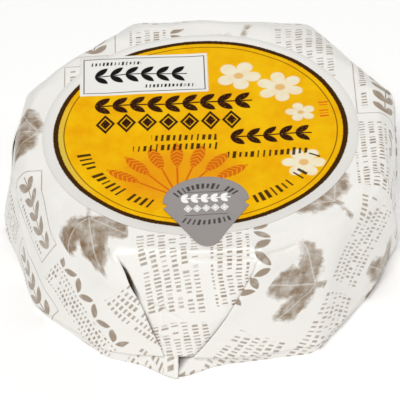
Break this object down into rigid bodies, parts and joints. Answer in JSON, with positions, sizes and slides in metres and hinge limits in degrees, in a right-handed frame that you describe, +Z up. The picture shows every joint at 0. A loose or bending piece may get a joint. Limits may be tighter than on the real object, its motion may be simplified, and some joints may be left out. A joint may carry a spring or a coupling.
{
  "type": "paper-wrapped cheese wheel",
  "caption": "Small soft cheese wheel shut inside a pleated, printed paper wrapper, with a round yellow label on its flat top and a grey badge at the label's front edge.",
  "frame": {"origin": "on the base plane, straight below the centre of the round label", "axes": "+Z up out of the labelled top, -Y towards the front, where the badge is, +X to the right as seen from the front"},
  "size_m": [0.0835, 0.082, 0.0295],
  "materials": {
    "wrapper_paper": "matte white paper with a faint taupe print",
    "label_paper": "printed yellow paper inside a dark brown ring, with a pale border",
    "badge_paper": "printed grey paper"
  },
  "bodies": {
    "root": {"wrapper": "wrapper_paper", "label": "label_paper", "badge": "badge_paper"}
  },
  "joints": []
}
